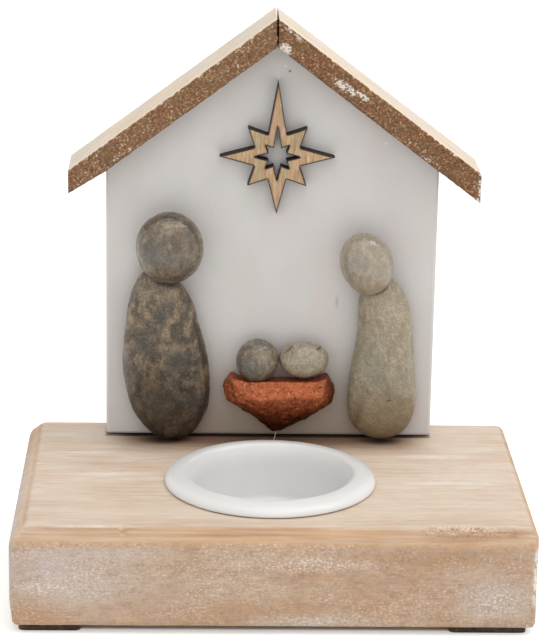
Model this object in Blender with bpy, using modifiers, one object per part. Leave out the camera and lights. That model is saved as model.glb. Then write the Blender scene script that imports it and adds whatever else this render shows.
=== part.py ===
# Nativity tealight holder: a wooden block with a cup for one tealight, and behind it a
# white house panel under two roof boards, with a star and pebble figures glued to it.
# Metres, +Z up, front towards -Y. The origin is on the table, under the block's middle.

import math

import bmesh
import bpy
from mathutils import Vector

MM = 0.001

# Gap kept between pieces that rest on, or are glued to, each other
SEAT_GAP = 0.3 * MM

# Wooden block
BASE_WIDTH = 135.0 * MM
BASE_DEPTH = 88.2 * MM
BASE_HEIGHT = 26.4 * MM
BASE_CHAMFER = 3.6 * MM
LEFT_CHAMFER = 4.2 * MM
RIGHT_CHAMFER = 1.6 * MM
BASE_CORNER_RADIUS = 2.0 * MM
BASE_EDGE_ROUNDING = 0.4 * MM

# Splinter missing from the foot of the block's front left corner
CHIP_DEPTH = 0.9 * MM
CHIP_HEIGHT = 5.6 * MM
CHIP_LENGTH = 7.0 * MM
CHIP_SLANT = math.radians(9.0)

# Felt pads under the four corners
LEFT_PAD_WIDTH = 16.0 * MM
RIGHT_PAD_WIDTH = 20.0 * MM
PAD_DEPTH = 16.0 * MM
PAD_THICKNESS = 1.7 * MM
PAD_MARGIN = 2.2 * MM
PAD_CORNER_RADIUS = 1.5 * MM

# Cup for the tealight, with a rolled rim that lies on the block
CUP_FROM_FRONT = 36.6 * MM
CUP_SIDE_SHIFT = -0.3 * MM
CUP_INNER_RADIUS = 20.3 * MM
CUP_DEPTH = 13.0 * MM
CUP_WALL = 1.0 * MM
CUP_DRAFT = 0.5 * MM
CUP_FLOOR_FILLET = 2.2 * MM
RIM_RADIUS = 28.1 * MM
RIM_CREST_RADIUS = 21.4 * MM
RIM_HEIGHT = 3.0 * MM
WELL_CLEARANCE = 0.4 * MM

# House panel
PANEL_WIDTH = 90.6 * MM
PANEL_THICKNESS = 10.0 * MM
PANEL_BACK_MARGIN = 4.6 * MM
PANEL_SIDE_SHIFT = 0.1 * MM
PANEL_EDGE_ROUNDING = 0.7 * MM

# Roof boards, flush with the panel's back. The right one is a little thicker at its eave, and
# the left one is worn off underneath at its eave.
RIDGE_HEIGHT = 119.5 * MM
RIDGE_SIDE_SHIFT = 0.55 * MM
ROOF_PITCH = math.radians(36.9)
ROOF_DEPTH = 18.4 * MM
ROOF_THICKNESS = 6.45 * MM
RIGHT_EAVE_THICKNESS = 6.75 * MM
LEFT_EAVE_REACH = 10.0 * MM
RIGHT_EAVE_REACH = 10.8 * MM
LEFT_EAVE_WORN_OFF = 1.35 * MM
LEFT_EAVE_WORN_LENGTH = 10.0 * MM
ROOF_EDGE_ROUNDING = 0.35 * MM

# Star: reach of its arms from the centre, and of the window cut in it
STAR_THICKNESS = 3.5 * MM
STAR_BELOW_RIDGE = 38.7 * MM
STAR_SIDE_SHIFT = 1.1 * MM
STAR_UP = 20.8 * MM
STAR_DOWN = 15.9 * MM
STAR_SIDE = 15.6 * MM
STAR_DIAGONAL = 11.3 * MM
STAR_NOTCH = 6.6 * MM
WINDOW_UP = 8.8 * MM
WINDOW_DOWN = 6.6 * MM
WINDOW_SIDE = 6.4 * MM
WINDOW_DIAGONAL = 4.7 * MM
WINDOW_NOTCH = 2.6 * MM

# Pebbles. The widths are those of the oval's low end, middle and high end, before its
# rounding; lean moves the high end sideways, and bow pushes the upper middle sideways. A
# figure's pieces stand a distance out from the panel's middle, and a head sinks into its body.
LEFT_BODY = {
    "out": 27.0 * MM, "lift": 0.3 * MM, "height": 50.0 * MM,
    "low": 30.2 * MM, "middle": 22.8 * MM, "high": 20.5 * MM,
    "front": 6.6 * MM, "back": 3.4 * MM, "lean": -4.6 * MM, "bow": 0.2 * MM,
}
LEFT_HEAD = {
    "out": 27.9 * MM, "sink": 4.1 * MM, "height": 20.0 * MM,
    "low": 18.4 * MM, "middle": 18.4 * MM, "high": 18.4 * MM,
    "front": 7.4 * MM, "back": 5.6 * MM, "lean": 0.0 * MM, "bow": 0.0 * MM,
}
RIGHT_BODY = {
    "out": 31.1 * MM, "lift": 0.8 * MM, "height": 47.9 * MM,
    "low": 31.0 * MM, "middle": 17.6 * MM, "high": 20.5 * MM,
    "front": 6.2 * MM, "back": 3.2 * MM, "lean": -1.9 * MM, "bow": 1.8 * MM,
}
RIGHT_HEAD = {
    "out": 26.6 * MM, "sink": 5.2 * MM, "height": 17.1 * MM,
    "low": 14.6 * MM, "middle": 14.6 * MM, "high": 14.6 * MM,
    "front": 6.2 * MM, "back": 4.8 * MM, "lean": -1.7 * MM, "bow": 0.0 * MM,
}
HEAD_STANDOFF = 1.6 * MM

# Manger stone, from its tip: its reach to each side, its height, the depth at which its
# sides end, and how far its crest is set in from them
MANGER_TIP_LIFT = 2.7 * MM
MANGER_SIDE_SHIFT = 1.3 * MM
MANGER_LEFT = 14.2 * MM
MANGER_RIGHT = 16.9 * MM
MANGER_HEIGHT = 15.0 * MM
MANGER_SHOULDER_DEPTH = 5.0 * MM
MANGER_DEPTH = 9.6 * MM
MANGER_ROUNDING = 1.3 * MM
MANGER_CREST_SETBACK = 5.4 * MM

# The two pebbles that lie on the manger stone, the head a little left of the stone's tip
INFANT_HEAD = {
    "left_of_tip": 5.7 * MM, "height": 12.3 * MM,
    "low": 11.6 * MM, "middle": 11.5 * MM, "high": 11.4 * MM,
    "front": 5.0 * MM, "back": 4.4 * MM, "lean": 0.4 * MM, "bow": 0.0 * MM,
}
INFANT_BODY = {
    "length": 14.0 * MM, "height": 10.6 * MM,
    "front": 4.8 * MM, "back": 4.2 * MM, "rise": 1.3 * MM,
}
INFANT_SINK = 0.5 * MM

# Wood screws from below into the panel's foot
SCREW_SPACING = 50.0 * MM
SCREW_LENGTH = 40.0 * MM
SCREW_RADIUS = 1.8 * MM
SCREW_HEAD_RADIUS = 3.6 * MM
SCREW_HEAD_HEIGHT = 2.2 * MM
SCREW_POINT = 4.0 * MM
SCREW_SUNK = 0.6 * MM

# Facets
CUP_SEGMENTS = 56
SCREW_SEGMENTS = 16
LARGE_PEBBLE = (30, 22)
SMALL_PEBBLE = (24, 16)

# Places that follow from the sizes above
base_bottom = PAD_THICKNESS + SEAT_GAP
base_top = base_bottom + BASE_HEIGHT
base_front = -BASE_DEPTH / 2
base_back = BASE_DEPTH / 2
cup_y = base_front + CUP_FROM_FRONT
panel_back = base_back - PANEL_BACK_MARGIN
panel_front = panel_back - PANEL_THICKNESS
panel_left = PANEL_SIDE_SHIFT - PANEL_WIDTH / 2
panel_right = PANEL_SIDE_SHIFT + PANEL_WIDTH / 2
panel_bottom = base_top + SEAT_GAP
manger_tip_x = PANEL_SIDE_SHIFT + MANGER_SIDE_SHIFT
glue_face = panel_front - SEAT_GAP
roof_back = panel_back
ridge_x = RIDGE_SIDE_SHIFT
ridge_top = base_top + RIDGE_HEIGHT
roof_plumb = ROOF_THICKNESS / math.cos(ROOF_PITCH)
eave_plumb = RIGHT_EAVE_THICKNESS / math.cos(ROOF_PITCH)


def new_collection(name):
    collection = bpy.data.collections.new(name)
    bpy.context.scene.collection.children.link(collection)
    return collection


def paint(obj, colour, roughness, metallic=0.0):
    material = bpy.data.materials.new(obj.name + "_material")
    material.use_nodes = True
    shader = material.node_tree.nodes["Principled BSDF"]
    shader.inputs["Base Color"].default_value = (*colour, 1.0)
    shader.inputs["Roughness"].default_value = roughness
    shader.inputs["Metallic"].default_value = metallic
    obj.data.materials.clear()
    obj.data.materials.append(material)


def object_from(bm, name, collection):
    mesh = bpy.data.meshes.new(name)
    bmesh.ops.recalc_face_normals(bm, faces=bm.faces)
    bm.to_mesh(mesh)
    bm.free()
    obj = bpy.data.objects.new(name, mesh)
    collection.objects.link(obj)
    return obj


def as_cutter(obj):
    obj.hide_render = True
    obj.display_type = "WIRE"
    return obj


def cut(obj, cutter):
    modifier = obj.modifiers.new("cut_" + cutter.name, "BOOLEAN")
    modifier.operation = "DIFFERENCE"
    modifier.object = cutter


def soften(obj, width, segments, degrees=30.0):
    modifier = obj.modifiers.new("softened_edges", "BEVEL")
    modifier.width = width
    modifier.segments = segments
    modifier.limit_method = "ANGLE"
    modifier.angle_limit = math.radians(degrees)


def smooth(obj, degrees=35.0):
    obj.data.shade_smooth()
    obj.data.set_sharp_from_angle(angle=math.radians(degrees))


def box(name, size, centre, collection):
    bm = bmesh.new()
    bmesh.ops.create_cube(bm, size=1.0)
    bmesh.ops.scale(bm, vec=size, verts=bm.verts)
    bmesh.ops.translate(bm, vec=centre, verts=bm.verts)
    return object_from(bm, name, collection)


def bevel_edges(bm, edges, width, segments):
    bmesh.ops.bevel(bm, geom=edges, affect="EDGES", offset=width, segments=segments,
                    profile=0.5, material=-1)


def plane_cut(bm, point, normal):
    # Saws off what lies beyond the plane and closes the cut
    everything = bm.verts[:] + bm.edges[:] + bm.faces[:]
    cut_edges = bmesh.ops.bisect_plane(bm, geom=everything, plane_co=point, plane_no=normal,
                                       clear_outer=True)["geom_cut"]
    edges = [e for e in cut_edges if isinstance(e, bmesh.types.BMEdge)]
    bmesh.ops.contextual_create(bm, geom=edges)


def turned(name, profile, segments, collection):
    # Profile points are (radius, height), turned once about the vertical axis
    bm = bmesh.new()
    verts = [bm.verts.new((radius, 0.0, height)) for radius, height in profile]
    for first, second in zip(verts, verts[1:]):
        bm.edges.new((first, second))
    mesh = bpy.data.meshes.new(name)
    bm.to_mesh(mesh)
    bm.free()
    obj = bpy.data.objects.new(name, mesh)
    collection.objects.link(obj)
    screw = obj.modifiers.new("turned", "SCREW")
    screw.axis = "Z"
    screw.steps = segments
    screw.render_steps = segments
    screw.use_merge_vertices = True
    screw.merge_threshold = 0.01 * MM
    return obj


def sawn(name, outlines, front, back, collection):
    # Outlines are (x, z) points; the first is the outside, and any others are holes
    curve = bpy.data.curves.new(name, "CURVE")
    curve.dimensions = "2D"
    curve.fill_mode = "BOTH"
    curve.extrude = (back - front) / 2
    for outline in outlines:
        spline = curve.splines.new("POLY")
        spline.points.add(len(outline) - 1)
        spline.use_cyclic_u = True
        for point, (x, z) in zip(spline.points, outline):
            point.co = (x, z, 0.0, 1.0)
    flat = bpy.data.objects.new(name + "_outline", curve)
    collection.objects.link(flat)
    flat.rotation_euler = (math.radians(90.0), 0.0, 0.0)
    flat.location = (0.0, (front + back) / 2, 0.0)
    bpy.context.view_layer.update()
    evaluated = flat.evaluated_get(bpy.context.evaluated_depsgraph_get())
    mesh = bpy.data.meshes.new_from_object(evaluated)
    bm = bmesh.new()
    bm.from_mesh(mesh)
    bmesh.ops.remove_doubles(bm, verts=bm.verts, dist=0.01 * MM)
    bmesh.ops.dissolve_limit(bm, angle_limit=math.radians(1.0), verts=bm.verts, edges=bm.edges)
    bm.to_mesh(mesh)
    bm.free()
    mesh.name = name
    obj = bpy.data.objects.new(name, mesh)
    obj.matrix_world = flat.matrix_world
    collection.objects.link(obj)
    bpy.data.objects.remove(flat)
    return obj


def through(low, middle, high, t):
    # The smooth curve that has these three values at t = 0, 0.5 and 1
    return low * (1 - t) * (1 - 2 * t) + 4 * middle * t * (1 - t) + high * t * (2 * t - 1)


def pebble(name, size, foot, facets, collection, grow=0.0):
    # Foot is the pebble's lowest point; grow makes the same pebble larger all round.
    # The factor 6.75 makes the curve of the bow reach 1 at its peak.
    segments, rings = facets
    bm = bmesh.new()
    bmesh.ops.create_uvsphere(bm, u_segments=segments, v_segments=rings, radius=1.0)
    for vert in bm.verts:
        t = (vert.co.z + 1.0) / 2.0
        width = through(size["low"], size["middle"], size["high"], t)
        centre = size["lean"] * t + size["bow"] * 6.75 * t * t * (1.0 - t)
        depth = size["back"] if vert.co.y > 0.0 else size["front"]
        x = foot.x + centre + vert.co.x * (width / 2 + grow)
        y = foot.y + vert.co.y * (depth + grow)
        z = foot.z + t * size["height"] + vert.co.z * grow
        vert.co = (x, y, z)
    obj = object_from(bm, name, collection)
    obj.data.shade_smooth()
    return obj


def base_block(parts, cutters, screw_holes):
    bm = bmesh.new()
    bmesh.ops.create_cube(bm, size=1.0)
    bmesh.ops.scale(bm, vec=(BASE_WIDTH, BASE_DEPTH, BASE_HEIGHT), verts=bm.verts)
    corners = [e for e in bm.edges
               if abs(e.verts[0].co.z - e.verts[1].co.z) > BASE_HEIGHT / 2]
    bevel_edges(bm, corners, BASE_CORNER_RADIUS, 3)
    half = Vector((BASE_WIDTH / 2, BASE_DEPTH / 2, BASE_HEIGHT / 2))
    for x, y, width in ((-1, 0, LEFT_CHAMFER), (1, 0, RIGHT_CHAMFER),
                        (0, -1, BASE_CHAMFER), (0, 1, BASE_CHAMFER)):
        edge = Vector((x * (half.x - width), y * (half.y - width), half.z))
        plane_cut(bm, edge, Vector((x, y, 1.0)))
    sharp = [e for e in bm.edges if e.calc_face_angle(0.0) > math.radians(35.0)]
    bevel_edges(bm, sharp, BASE_EDGE_ROUNDING, 2)
    block = object_from(bm, "base_block", parts)
    block.location = (0.0, 0.0, base_bottom + BASE_HEIGHT / 2)

    well_depth = CUP_DEPTH + CUP_WALL + WELL_CLEARANCE
    well_radius = CUP_INNER_RADIUS + CUP_WALL + WELL_CLEARANCE
    bm = bmesh.new()
    bmesh.ops.create_cone(bm, segments=CUP_SEGMENTS, cap_ends=True, radius1=well_radius,
                          radius2=well_radius, depth=2 * well_depth)
    well = object_from(bm, "cup_well", cutters)
    well.location = (CUP_SIDE_SHIFT, cup_y, base_top)
    cut(block, as_cutter(well))

    chip = box("corner_chip", (2 * CHIP_LENGTH, 2 * CHIP_LENGTH, 2 * CHIP_HEIGHT),
               (-CHIP_LENGTH, 0.0, 0.0), cutters)
    chip.rotation_euler = (0.0, -CHIP_SLANT, 0.0)
    chip.location = (CHIP_DEPTH - BASE_WIDTH / 2, base_front, base_bottom)
    cut(block, as_cutter(chip))
    for hole in screw_holes:
        cut(block, hole)
    smooth(block)
    paint(block, (0.60, 0.43, 0.29), 0.7)
    return block


def quarter(centre, radii, start, count):
    # A quarter turn of an ellipse, as (radius, height) points from a start angle
    points = []
    for step in range(count + 1):
        angle = start + math.radians(90.0) * step / count
        points.append((centre[0] + radii[0] * math.cos(angle),
                       centre[1] + radii[1] * math.sin(angle)))
    return points


def tealight_cup(parts):
    lip = SEAT_GAP
    flange = quarter((RIM_CREST_RADIUS, lip), (RIM_RADIUS - RIM_CREST_RADIUS, RIM_HEIGHT), 0.0, 6)
    mouth_width = RIM_CREST_RADIUS - CUP_INNER_RADIUS
    mouth = quarter((RIM_CREST_RADIUS, lip + RIM_HEIGHT - mouth_width),
                    (mouth_width, mouth_width), math.radians(90.0), 4)
    floor_radius = CUP_INNER_RADIUS - CUP_DRAFT
    corner = quarter((floor_radius - CUP_FLOOR_FILLET, CUP_FLOOR_FILLET - CUP_DEPTH),
                     (CUP_FLOOR_FILLET, CUP_FLOOR_FILLET), math.radians(-90.0), 4)
    profile = flange + mouth[1:] + corner[::-1] + [(0.0, -CUP_DEPTH)]
    cup = turned("tealight_cup", profile, CUP_SEGMENTS, parts)
    wall = cup.modifiers.new("wall", "SOLIDIFY")
    wall.thickness = CUP_WALL
    wall.offset = 1.0
    wall.use_even_offset = True
    cup.location = (CUP_SIDE_SHIFT, cup_y, base_top)
    smooth(cup, 50.0)
    paint(cup, (0.82, 0.82, 0.81), 0.2)
    return cup


def roof_upper_side(x):
    return ridge_top - abs(x - ridge_x) * math.tan(ROOF_PITCH)


def roof_underside(x):
    # Height of the boards' lower faces, which the panel's gable fits under
    under = roof_upper_side(x) - roof_plumb
    if x > ridge_x:
        right_run = panel_right + RIGHT_EAVE_REACH - ridge_x
        under -= (eave_plumb - roof_plumb) * (x - ridge_x) / right_run
    return under


def house_panel(parts, screw_holes):
    gap = SEAT_GAP / math.cos(ROOF_PITCH)
    outline = [(panel_left, panel_bottom), (panel_right, panel_bottom),
               (panel_right, roof_underside(panel_right) - gap),
               (ridge_x, roof_underside(ridge_x) - gap),
               (panel_left, roof_underside(panel_left) - gap)]
    panel = sawn("house_panel", [outline], panel_front, panel_back, parts)
    soften(panel, PANEL_EDGE_ROUNDING, 2)
    for hole in screw_holes:
        cut(panel, hole)
    smooth(panel)
    paint(panel, (0.66, 0.64, 0.63), 0.55)
    return panel


def roof_board(name, side, parts):
    seam_x = ridge_x + side * SEAT_GAP / 2
    if side < 0:
        eave_x = panel_left - LEFT_EAVE_REACH
        sound_x = eave_x + LEFT_EAVE_WORN_LENGTH
        lower_edge = [(eave_x, roof_underside(eave_x) + LEFT_EAVE_WORN_OFF),
                      (sound_x, roof_underside(sound_x))]
    else:
        eave_x = panel_right + RIGHT_EAVE_REACH
        lower_edge = [(eave_x, roof_underside(eave_x))]
    upper_edge = [(seam_x, roof_upper_side(seam_x)), (eave_x, roof_upper_side(eave_x))]
    outline = upper_edge + lower_edge + [(seam_x, roof_underside(seam_x))]
    board = sawn(name, [outline], roof_back - ROOF_DEPTH, roof_back, parts)
    soften(board, ROOF_EDGE_ROUNDING, 2)
    smooth(board)
    paint(board, (0.42, 0.27, 0.15), 0.75)
    return board


def star_outline(centre, up, down, side, diagonal, notch):
    # Sixteen points: the tips at every 45 degrees, and a notch half way between them
    tips = [side, diagonal, up, diagonal, side, diagonal, down, diagonal]
    outline = []
    for index, tip in enumerate(tips):
        for reach, angle in ((tip, 45.0 * index), (notch, 45.0 * index + 22.5)):
            turn = math.radians(angle)
            outline.append((centre[0] + reach * math.cos(turn), centre[1] + reach * math.sin(turn)))
    return outline


def star(parts):
    centre = (STAR_SIDE_SHIFT, ridge_top - STAR_BELOW_RIDGE)
    outside = star_outline(centre, STAR_UP, STAR_DOWN, STAR_SIDE, STAR_DIAGONAL, STAR_NOTCH)
    window = star_outline(centre, WINDOW_UP, WINDOW_DOWN, WINDOW_SIDE, WINDOW_DIAGONAL,
                          WINDOW_NOTCH)
    plate = sawn("star", [outside, window], glue_face - STAR_THICKNESS, glue_face, parts)
    paint(plate, (0.55, 0.38, 0.26), 0.7)
    return plate


def figure(side_name, side, body_size, head_size, parts, cutters, colour, roughness):
    # Side is -1 for the left figure and 1 for the right one
    body_foot = Vector((PANEL_SIDE_SHIFT + side * body_size["out"], glue_face - body_size["back"],
                        base_top + body_size["lift"]))
    body = pebble(side_name + "_figure_body", body_size, body_foot, LARGE_PEBBLE, parts)
    head_foot = Vector((PANEL_SIDE_SHIFT + side * head_size["out"],
                        glue_face - HEAD_STANDOFF - head_size["back"],
                        body_foot.z + body_size["height"] - head_size["sink"]))
    head = pebble(side_name + "_figure_head", head_size, head_foot, SMALL_PEBBLE, parts)
    seat = pebble(side_name + "_head_seat", head_size, head_foot, SMALL_PEBBLE, cutters, SEAT_GAP)
    cut(body, as_cutter(seat))
    paint(body, colour, roughness)
    paint(head, colour, roughness)
    return body, head


def manger_stone(parts, pebble_seats):
    # The front outline runs round from the left end to the tip and back over the top. Each
    # point is a share of the reach to its side and a share of the height.
    outline = [(-1.0, 0.88), (-0.94, 0.62), (-0.43, 0.33), (-0.04, 0.0), (0.10, 0.01),
               (0.52, 0.26), (0.95, 0.58), (1.0, 0.82), (0.86, 1.11), (0.67, 1.05),
               (-0.55, 1.0), (-0.85, 1.11)]
    tip = Vector((manger_tip_x, 0.0, base_top + MANGER_TIP_LIFT))
    middle = Vector((tip.x, 0.0, tip.z + MANGER_HEIGHT / 2))
    crest = 1.0 - MANGER_CREST_SETBACK / MANGER_LEFT
    rings = []
    bm = bmesh.new()
    for depth, share in ((0.0, 1.0), (MANGER_SHOULDER_DEPTH, 1.0), (MANGER_DEPTH, crest)):
        ring = []
        for across, up in outline:
            reach = MANGER_LEFT if across < 0.0 else MANGER_RIGHT
            x = tip.x + across * reach
            z = tip.z + up * MANGER_HEIGHT
            ring.append(bm.verts.new((middle.x + (x - middle.x) * share, glue_face - depth,
                                      middle.z + (z - middle.z) * share)))
        rings.append(ring)
    bm.faces.new(rings[0])
    bm.faces.new(rings[-1])
    for ring, forward in zip(rings, rings[1:]):
        for index in range(len(ring)):
            bm.faces.new((ring[index - 1], ring[index], forward[index], forward[index - 1]))
    stone = object_from(bm, "manger_stone", parts)
    soften(stone, MANGER_ROUNDING, 3, 20.0)
    for seat in pebble_seats:
        cut(stone, seat)
    smooth(stone, 40.0)
    paint(stone, (0.40, 0.13, 0.05), 0.4, 0.5)
    return stone


def infant(parts, cutters):
    lying = base_top + MANGER_TIP_LIFT + MANGER_HEIGHT - INFANT_SINK
    head_foot = Vector((manger_tip_x - INFANT_HEAD["left_of_tip"], glue_face - INFANT_HEAD["back"],
                        lying))
    head = pebble("infant_head", INFANT_HEAD, head_foot, SMALL_PEBBLE, parts)
    head_seat = pebble("infant_head_seat", INFANT_HEAD, head_foot, SMALL_PEBBLE, cutters, SEAT_GAP)

    left = head_foot.x + INFANT_HEAD["middle"] / 2 + SEAT_GAP
    middle = Vector((left + INFANT_BODY["length"] / 2, glue_face - INFANT_BODY["back"],
                     lying + INFANT_BODY["rise"] + INFANT_BODY["height"] / 2))
    body = lying_pebble("infant_body", middle, parts)
    body_seat = lying_pebble("infant_body_seat", middle, cutters, SEAT_GAP)
    paint(head, (0.33, 0.31, 0.27), 0.45)
    paint(body, (0.42, 0.41, 0.35), 0.45)
    return head, body, [as_cutter(head_seat), as_cutter(body_seat)]


def lying_pebble(name, middle, collection, grow=0.0):
    segments, rings = SMALL_PEBBLE
    bm = bmesh.new()
    bmesh.ops.create_uvsphere(bm, u_segments=segments, v_segments=rings, radius=1.0)
    for vert in bm.verts:
        depth = INFANT_BODY["back"] if vert.co.y > 0.0 else INFANT_BODY["front"]
        vert.co = (middle.x + vert.co.x * (INFANT_BODY["length"] / 2 + grow),
                   middle.y + vert.co.y * (depth + grow),
                   middle.z + vert.co.z * (INFANT_BODY["height"] / 2 + grow))
    obj = object_from(bm, name, collection)
    obj.data.shade_smooth()
    return obj


def felt_pads(parts):
    reach_y = BASE_DEPTH / 2 - PAD_MARGIN - PAD_DEPTH / 2
    for side_name, side, width in (("left", -1, LEFT_PAD_WIDTH), ("right", 1, RIGHT_PAD_WIDTH)):
        x = side * (BASE_WIDTH / 2 - PAD_MARGIN - width / 2)
        for end_name, y in (("front", -reach_y), ("back", reach_y)):
            bm = bmesh.new()
            bmesh.ops.create_cube(bm, size=1.0)
            bmesh.ops.scale(bm, vec=(width, PAD_DEPTH, PAD_THICKNESS), verts=bm.verts)
            upright = [e for e in bm.edges
                       if abs(e.verts[0].co.z - e.verts[1].co.z) > PAD_THICKNESS / 2]
            bevel_edges(bm, upright, PAD_CORNER_RADIUS, 3)
            pad = object_from(bm, "felt_pad_" + end_name + "_" + side_name, parts)
            pad.location = (x, y, PAD_THICKNESS / 2)
            smooth(pad)
            paint(pad, (0.05, 0.03, 0.02), 0.95)


def screw_profile():
    # From the point down to the flat of the countersunk head
    return [(0.0, SCREW_LENGTH), (SCREW_RADIUS, SCREW_LENGTH - SCREW_POINT),
            (SCREW_RADIUS, SCREW_HEAD_HEIGHT), (SCREW_HEAD_RADIUS, 0.0), (0.0, 0.0)]


def screw_hole_profile():
    # The screw's form with the gap all round, and open to below the block
    shank = SCREW_RADIUS + SEAT_GAP
    head = SCREW_HEAD_RADIUS + SEAT_GAP
    mouth = -SCREW_SUNK - SEAT_GAP
    return [(0.0, SCREW_LENGTH + SEAT_GAP), (shank, SCREW_LENGTH - SCREW_POINT),
            (shank, SCREW_HEAD_HEIGHT), (head, 0.0), (head, mouth), (0.0, mouth)]


def screws(parts, cutters):
    screw_y = (panel_front + panel_back) / 2
    holes = []
    for name, side in (("left", -1), ("right", 1)):
        place = (PANEL_SIDE_SHIFT + side * SCREW_SPACING / 2, screw_y, base_bottom + SCREW_SUNK)
        screw = turned("panel_screw_" + name, screw_profile(), SCREW_SEGMENTS, parts)
        screw.location = place
        smooth(screw)
        paint(screw, (0.55, 0.52, 0.45), 0.35, 1.0)
        hole = turned("screw_hole_" + name, screw_hole_profile(), SCREW_SEGMENTS, cutters)
        hole.location = place
        holes.append(as_cutter(hole))
    return holes


def build():
    for obj in list(bpy.data.objects):
        bpy.data.objects.remove(obj, do_unlink=True)
    parts = new_collection("nativity_tealight_holder")
    cutters = new_collection("cutters")
    screw_holes = screws(parts, cutters)
    base_block(parts, cutters, screw_holes)
    tealight_cup(parts)
    house_panel(parts, screw_holes)
    roof_board("roof_board_left", -1, parts)
    roof_board("roof_board_right", 1, parts)
    star(parts)
    figure("left", -1, LEFT_BODY, LEFT_HEAD, parts, cutters, (0.19, 0.17, 0.14), 0.3)
    figure("right", 1, RIGHT_BODY, RIGHT_HEAD, parts, cutters, (0.42, 0.40, 0.33), 0.45)
    pebble_seats = infant(parts, cutters)[2]
    manger_stone(parts, pebble_seats)
    felt_pads(parts)


build()
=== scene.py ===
import math
import bmesh
import bpy
from mathutils import Matrix, Vector, noise


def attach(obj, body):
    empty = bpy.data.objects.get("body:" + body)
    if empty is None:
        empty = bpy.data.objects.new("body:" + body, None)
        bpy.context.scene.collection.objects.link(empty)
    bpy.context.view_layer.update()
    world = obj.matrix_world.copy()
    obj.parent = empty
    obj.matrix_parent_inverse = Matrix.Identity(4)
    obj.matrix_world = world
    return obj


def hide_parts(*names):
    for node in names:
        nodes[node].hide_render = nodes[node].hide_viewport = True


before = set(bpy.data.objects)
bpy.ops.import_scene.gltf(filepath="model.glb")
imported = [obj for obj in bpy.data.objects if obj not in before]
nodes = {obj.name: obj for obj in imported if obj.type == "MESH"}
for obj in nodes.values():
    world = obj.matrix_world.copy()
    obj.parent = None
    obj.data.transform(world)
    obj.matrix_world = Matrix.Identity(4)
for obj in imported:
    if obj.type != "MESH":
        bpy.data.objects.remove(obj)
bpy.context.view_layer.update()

# Nativity tealight holder: finishes, weathered wood and pebbles, light and camera.
# Lengths in the dictionaries are millimetres, and mm turns them into Blender's metres.
mm = 0.001


def linear(code):  # sRGB hex to Blender's linear colour
    parts = [int(code[i:i + 2], 16) / 255 for i in (0, 2, 4)]
    return [p / 12.92 if p <= 0.04045 else ((p + 0.055) / 1.055) ** 2.4 for p in parts] + [1.0]


def add(tree, kind, inputs, out=0, stops=None, **settings):
    # One node with its settings. A socket among the inputs is linked, anything else is a value.
    node = tree.nodes.new("ShaderNode" + kind)
    for name, value in settings.items():
        setattr(node, name, value)
    for name, value in inputs.items():
        if isinstance(value, bpy.types.NodeSocket):
            tree.links.new(value, node.inputs[name])
        else:
            node.inputs[name].default_value = value
    if stops:
        ramp = node.color_ramp.elements
        for index, (position, code) in enumerate(stops):
            stop = ramp[index] if index < len(ramp) else ramp.new(position)
            stop.position = position
            stop.color = linear(code)
    return node.outputs[out]


def cloud(tree, place, size, low, high, stretch=(1, 1, 1), detail=4.0, shift=0.0):
    # Patches of noise, size mm across, from 0 at low to 1 at high
    scale = [1 / (size * mm * s) for s in stretch]
    mapped = add(tree, "Mapping", {"Vector": place, "Location": (shift, shift, shift),
                                   "Scale": scale})
    value = add(tree, "TexNoise", {"Vector": mapped, "Scale": 1.0, "Detail": detail})
    return add(tree, "MapRange", {"Value": value, "From Min": low, "From Max": high})


def spot(tree, place, centre, reach, strength, tilt=0.0):
    # Strong in the middle of a place on the piece, falling to 0 at its reach along each axis, in
    # mm. The tilt, in degrees, turns it down to the right as seen from the front.
    moved = add(tree, "Mapping", {"Vector": place, "Location": [c * mm for c in centre],
                                  "Rotation": (0, math.radians(tilt), 0),
                                  "Scale": [r * mm for r in reach]}, vector_type="TEXTURE")
    fall = add(tree, "TexGradient", {"Vector": moved}, out=1, gradient_type="SPHERICAL")
    return add(tree, "Math", {0: fall, 1: strength}, operation="MULTIPLY", use_clamp=True)


def band(tree, place, axis, start, end, low=0.0, high=1.0, sides=False):
    # Rises smoothly from low at start to high at end, in mm along one axis of the piece, or with
    # sides in mm to either side of its middle
    along = add(tree, "SeparateXYZ", {"Vector": place}, out="XYZ".index(axis))
    if sides:
        along = add(tree, "Math", {0: along}, operation="ABSOLUTE")
    return add(tree, "MapRange", {"Value": along, "From Min": start * mm, "From Max": end * mm,
                                  "To Min": low, "To Max": high}, interpolation_type="SMOOTHSTEP")


def over(tree, colour, code, masks, strength=1.0, blend="MIX"):
    # Lays a second colour over the first where every mask says so, at most at the strength
    amount = strength
    for mask in masks if isinstance(masks, list) else [masks]:
        amount = add(tree, "Math", {0: mask, 1: amount}, operation="MULTIPLY", use_clamp=True)
    below = linear(colour) if isinstance(colour, str) else colour
    above = linear(code) if isinstance(code, str) else code
    return add(tree, "Mix", {0: amount, 6: below, 7: above}, out=2, data_type="RGBA",
               blend_type=blend)


def newMaterial(name):
    material = bpy.data.materials.new(name)
    material.use_nodes = True
    tree = material.node_tree
    shader = tree.nodes["Principled BSDF"]
    coordinates = tree.nodes.new("ShaderNodeTexCoord")
    return material, tree, shader, coordinates.outputs["Object"]


def finishShader(tree, shader, colour, roughness, height, depth):
    # Depth is the relief's real height in mm
    bump = add(tree, "Bump", {"Height": height, "Strength": 1.0, "Distance": depth * mm})
    tree.links.new(colour, shader.inputs["Base Color"])
    tree.links.new(bump, shader.inputs["Normal"])
    shader.inputs["Roughness"].default_value = roughness


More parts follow.
